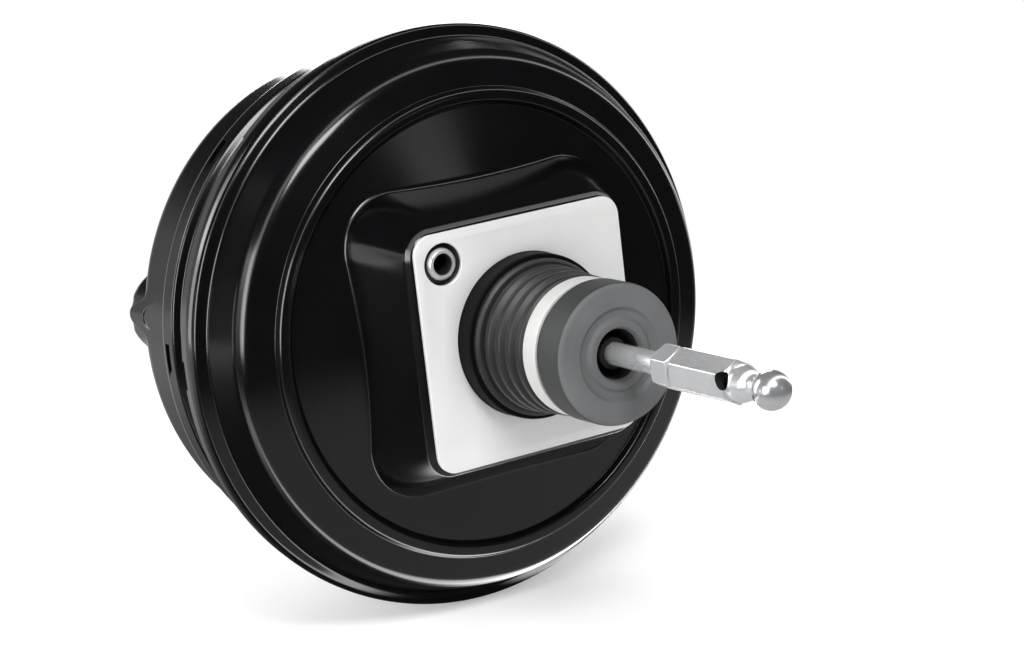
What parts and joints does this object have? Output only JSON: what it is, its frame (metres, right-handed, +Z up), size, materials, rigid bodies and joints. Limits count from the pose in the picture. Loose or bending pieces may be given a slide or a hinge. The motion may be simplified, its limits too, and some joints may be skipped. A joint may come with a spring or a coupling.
{
  "type": "brake booster",
  "caption": "Tandem vacuum brake booster: two crimped pressed shells on hollow tie rods, with a boot and a ball-ended input rod.",
  "frame": {"origin": "centre of the mounting plate's outer face, on the booster's axis", "axes": "+Y along the booster's axis towards the master cylinder, -Y towards the pedal, +Z up, +X to the right seen from the pedal side; the mounting plate's edges run along X and Z"},
  "size_m": [0.27, 0.3731, 0.27],
  "materials": {
    "shell_paint": "gloss black paint over pressed steel",
    "plate_zinc": "pale satin zinc plate",
    "rod_zinc": "bright zinc plate on turned steel",
    "ball_steel": "bright turned steel",
    "pressed_zinc": "zinc plate on pressed sheet",
    "spring_steel": "phosphated spring wire",
    "black_rubber": "moulded rubber",
    "boot_rubber": "dark grey moulded rubber",
    "band_plastic": "white moulded plastic",
    "ring_foam": "mid-grey rubber foam",
    "valve_plastic": "glass-filled phenolic",
    "bearing_plastic": "natural nylon",
    "filter_felt": "needle felt",
    "port_zinc": "pale bright metal"
  },
  "bodies": {
    "housing": {"rear_shell": "shell_paint", "front_shell": "shell_paint", "mounting_plate": "plate_zinc", "centre_plate": "pressed_zinc", "tie_rod_upper": "rod_zinc", "tie_rod_lower": "rod_zinc", "tie_rod_collars": "rod_zinc", "tie_rod_gaskets": "black_rubber", "rear_diaphragm_bead": "black_rubber", "front_diaphragm_bead": "black_rubber", "hub_seal": "black_rubber", "neck_seal": "black_rubber", "neck_bearing": "bearing_plastic", "divider_rod_seals": "black_rubber", "return_spring": "spring_steel", "dust_boot": "boot_rubber", "boot_band": "band_plastic", "boot_end_ring": "ring_foam", "port_ring": "port_zinc"},
    "pistons": {"valve_body": "valve_plastic", "rear_diaphragm": "black_rubber", "front_diaphragm": "black_rubber", "rear_piston_plate": "pressed_zinc", "front_piston_plate": "pressed_zinc", "rear_plate_clip": "pressed_zinc", "front_plate_clip": "pressed_zinc", "rear_rod_seals": "black_rubber", "front_rod_seals": "black_rubber", "stop_key": "pressed_zinc", "poppet_sleeve": "black_rubber", "poppet_spring": "spring_steel", "poppet_retainer": "pressed_zinc", "rod_spring": "spring_steel", "air_filter": "filter_felt", "silencer": "ring_foam", "reaction_disc": "black_rubber", "output_rod": "rod_zinc"},
    "plunger": {"plunger": "rod_zinc"},
    "poppet": {"poppet": "black_rubber"},
    "pedal_rod": {"input_rod": "rod_zinc", "rod_collar": "pressed_zinc", "lock_nut": "rod_zinc", "ball_sleeve": "ball_steel"}
  },
  "joints": [
    {"name": "piston_slide", "type": "slide", "parent": "housing", "child": "pistons", "axis": [0, 1, 0], "range_m": [0, 0.03], "stiffness_N_per_m": 3000, "springref_m": -0.03, "deforming": ["return_spring"]},
    {"name": "plunger_slide", "type": "slide", "parent": "pistons", "child": "plunger", "axis": [0, 1, 0], "range_m": [0, 0.003], "stiffness_N_per_m": 4000, "springref_m": -0.005, "deforming": ["rod_spring"]},
    {"name": "poppet_slide", "type": "slide", "parent": "pistons", "child": "poppet", "axis": [0, 1, 0], "range_m": [0, 0.001], "deforming": ["poppet_spring", "poppet_sleeve"]},
    {"name": "rod_tilt", "type": "hinge", "parent": "plunger", "child": "pedal_rod", "pos_m": [0, -0.005, 0], "axis": [1, 0, 0], "range_deg": [-3, 3]}
  ],
  "couplings": [
    {"joint": "poppet_slide", "follows": "plunger_slide", "ratio": 0.3333}
  ]
}
